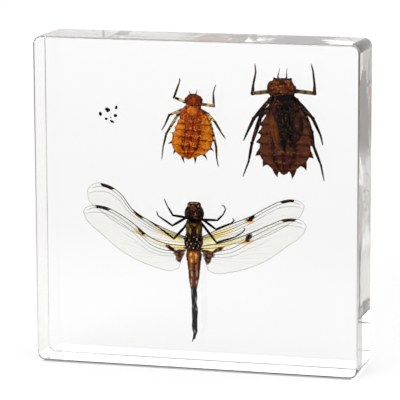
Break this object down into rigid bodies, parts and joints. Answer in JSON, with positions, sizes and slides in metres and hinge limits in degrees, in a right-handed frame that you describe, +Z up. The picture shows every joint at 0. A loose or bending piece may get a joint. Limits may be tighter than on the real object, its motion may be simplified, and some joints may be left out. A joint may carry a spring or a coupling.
{
  "type": "insect in resin block",
  "caption": "Upright clear resin block with a dragonfly's eggs, nymphs and spread-winged adult sealed in it, for display and study.",
  "frame": {"origin": "middle of the block's underside, where it stands", "axes": "+Z up the block towards the insects' heads, +X to the right as the front face is looked at, +Y through the block away from the front face, the shortest way"},
  "size_m": [0.11, 0.02, 0.11],
  "materials": {
    "clear_resin": "clear cast resin, polished",
    "dragonfly_shell": "dried insect shell, satin",
    "brown_shell": "dried insect shell, satin",
    "amber_shell": "dried insect shell, satin and slightly see-through",
    "egg_shell": "dark dried egg"
  },
  "bodies": {
    "root": {"resin_front": "clear_resin", "resin_back": "clear_resin", "dragonfly": "dragonfly_shell", "large_nymph": "brown_shell", "small_nymph": "amber_shell", "egg_clump": "egg_shell", "egg_1": "egg_shell", "egg_2": "egg_shell", "egg_3": "egg_shell", "egg_4": "egg_shell", "egg_5": "egg_shell", "egg_6": "egg_shell"}
  },
  "joints": []
}
